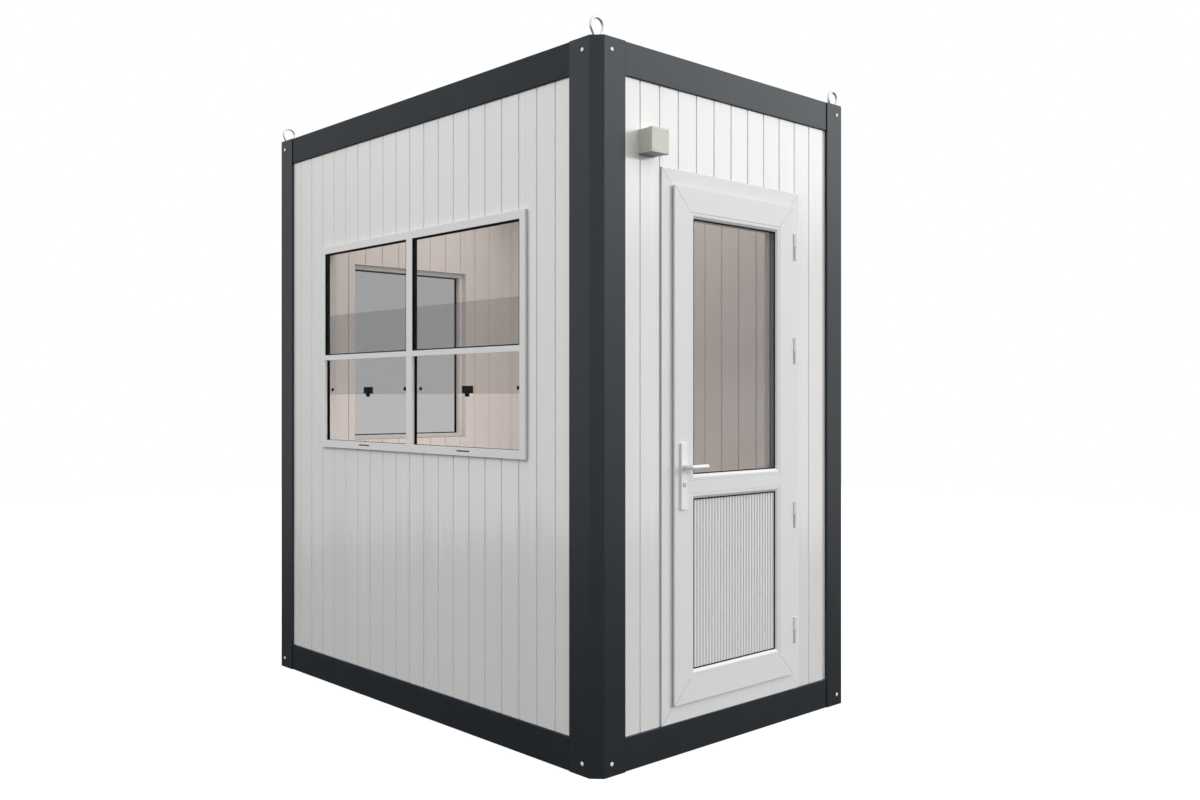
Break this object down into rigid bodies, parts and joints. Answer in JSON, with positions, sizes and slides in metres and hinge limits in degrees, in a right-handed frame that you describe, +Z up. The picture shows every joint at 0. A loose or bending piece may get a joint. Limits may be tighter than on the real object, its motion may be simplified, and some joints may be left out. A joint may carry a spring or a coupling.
{
  "type": "security guard booth",
  "caption": "Prefabricated guard booth with a dark steel corner-post frame, white ribbed sandwich walls, a glazed outward-opening door, a raised guillotine window and lifting eyes.",
  "frame": {"origin": "centre of the rectangle between the four posts, on the ground plane under the base", "axes": "+Z up, the door wall faces -Y, the wall with the guillotine window faces -X, +X runs to the right along the door wall"},
  "size_m": [1.501, 2.3285, 2.646],
  "materials": {
    "frame_paint": "satin anthracite paint",
    "wall_paint": "satin white coil coating, cream inside",
    "galvanised": "galvanised",
    "plywood": "plain board",
    "vinyl": "matt vinyl covering",
    "bright_steel": "bright plated",
    "white_pvc": "semi-gloss",
    "white_plastic": "semi-gloss",
    "tinted_glass": "grey tinted, clear",
    "black_rubber": "matt",
    "black_plastic": "satin",
    "box_plastic": "satin olive grey"
  },
  "bodies": {
    "cabin": {"post_front_left": "frame_paint", "post_front_right": "frame_paint", "post_back_left": "frame_paint", "post_back_right": "frame_paint", "base_beam_front": "frame_paint", "base_beam_back": "frame_paint", "base_beam_left": "frame_paint", "base_beam_right": "frame_paint", "roof_beam_front": "frame_paint", "roof_beam_back": "frame_paint", "roof_beam_left": "frame_paint", "roof_beam_right": "frame_paint", "floor_joists": "galvanised", "roof_joists": "galvanised", "roof_sheet": "galvanised", "floor_board": "plywood", "floor_covering": "vinyl", "ceiling_panel": "wall_paint", "lifting_eyes": "bright_steel", "front_wall_left": "wall_paint", "front_wall_right": "wall_paint", "front_wall_over_door": "wall_paint", "left_wall_front": "wall_paint", "left_wall_rear": "wall_paint", "left_wall_below_window": "wall_paint", "left_wall_above_window": "wall_paint", "back_wall_left": "wall_paint", "back_wall_right": "wall_paint", "back_wall_below_window": "wall_paint", "back_wall_above_window": "wall_paint", "right_wall": "wall_paint", "left_window_frame": "white_pvc", "back_window_frame": "white_pvc", "door_frame": "white_pvc", "door_hinges_frame_side": "white_pvc", "left_window_fixed_glass": "tinted_glass", "left_window_sashes": "tinted_glass", "back_window_glass": "tinted_glass", "left_window_gaskets": "black_rubber", "left_window_tracks": "black_rubber", "back_window_gasket": "black_rubber", "left_window_catches": "black_plastic", "junction_box": "box_plastic", "junction_box_lid": "box_plastic"},
    "door": {"door_leaf": "white_pvc", "door_beads": "white_pvc", "door_glass": "tinted_glass", "door_glass_spacer": "bright_steel", "door_gaskets": "black_rubber", "door_lower_panel": "white_pvc", "door_handle_plates": "white_plastic", "door_lock_cylinder": "bright_steel", "door_hinges_leaf_side": "white_pvc"},
    "lever": {"door_lever": "white_plastic"}
  },
  "joints": [
    {"name": "door_swing", "type": "hinge", "parent": "cabin", "child": "door", "pos_m": [0.371, -1.142, 0], "axis": [0, 0, 1], "range_deg": [0, 110]},
    {"name": "lever_turn", "type": "hinge", "parent": "door", "child": "lever", "pos_m": [-0.316, -1.1325, 1.061], "axis": [0, 1, 0], "range_deg": [0, 40], "stiffness_Nm_per_rad": 1.5, "springref_deg": -17.19}
  ]
}
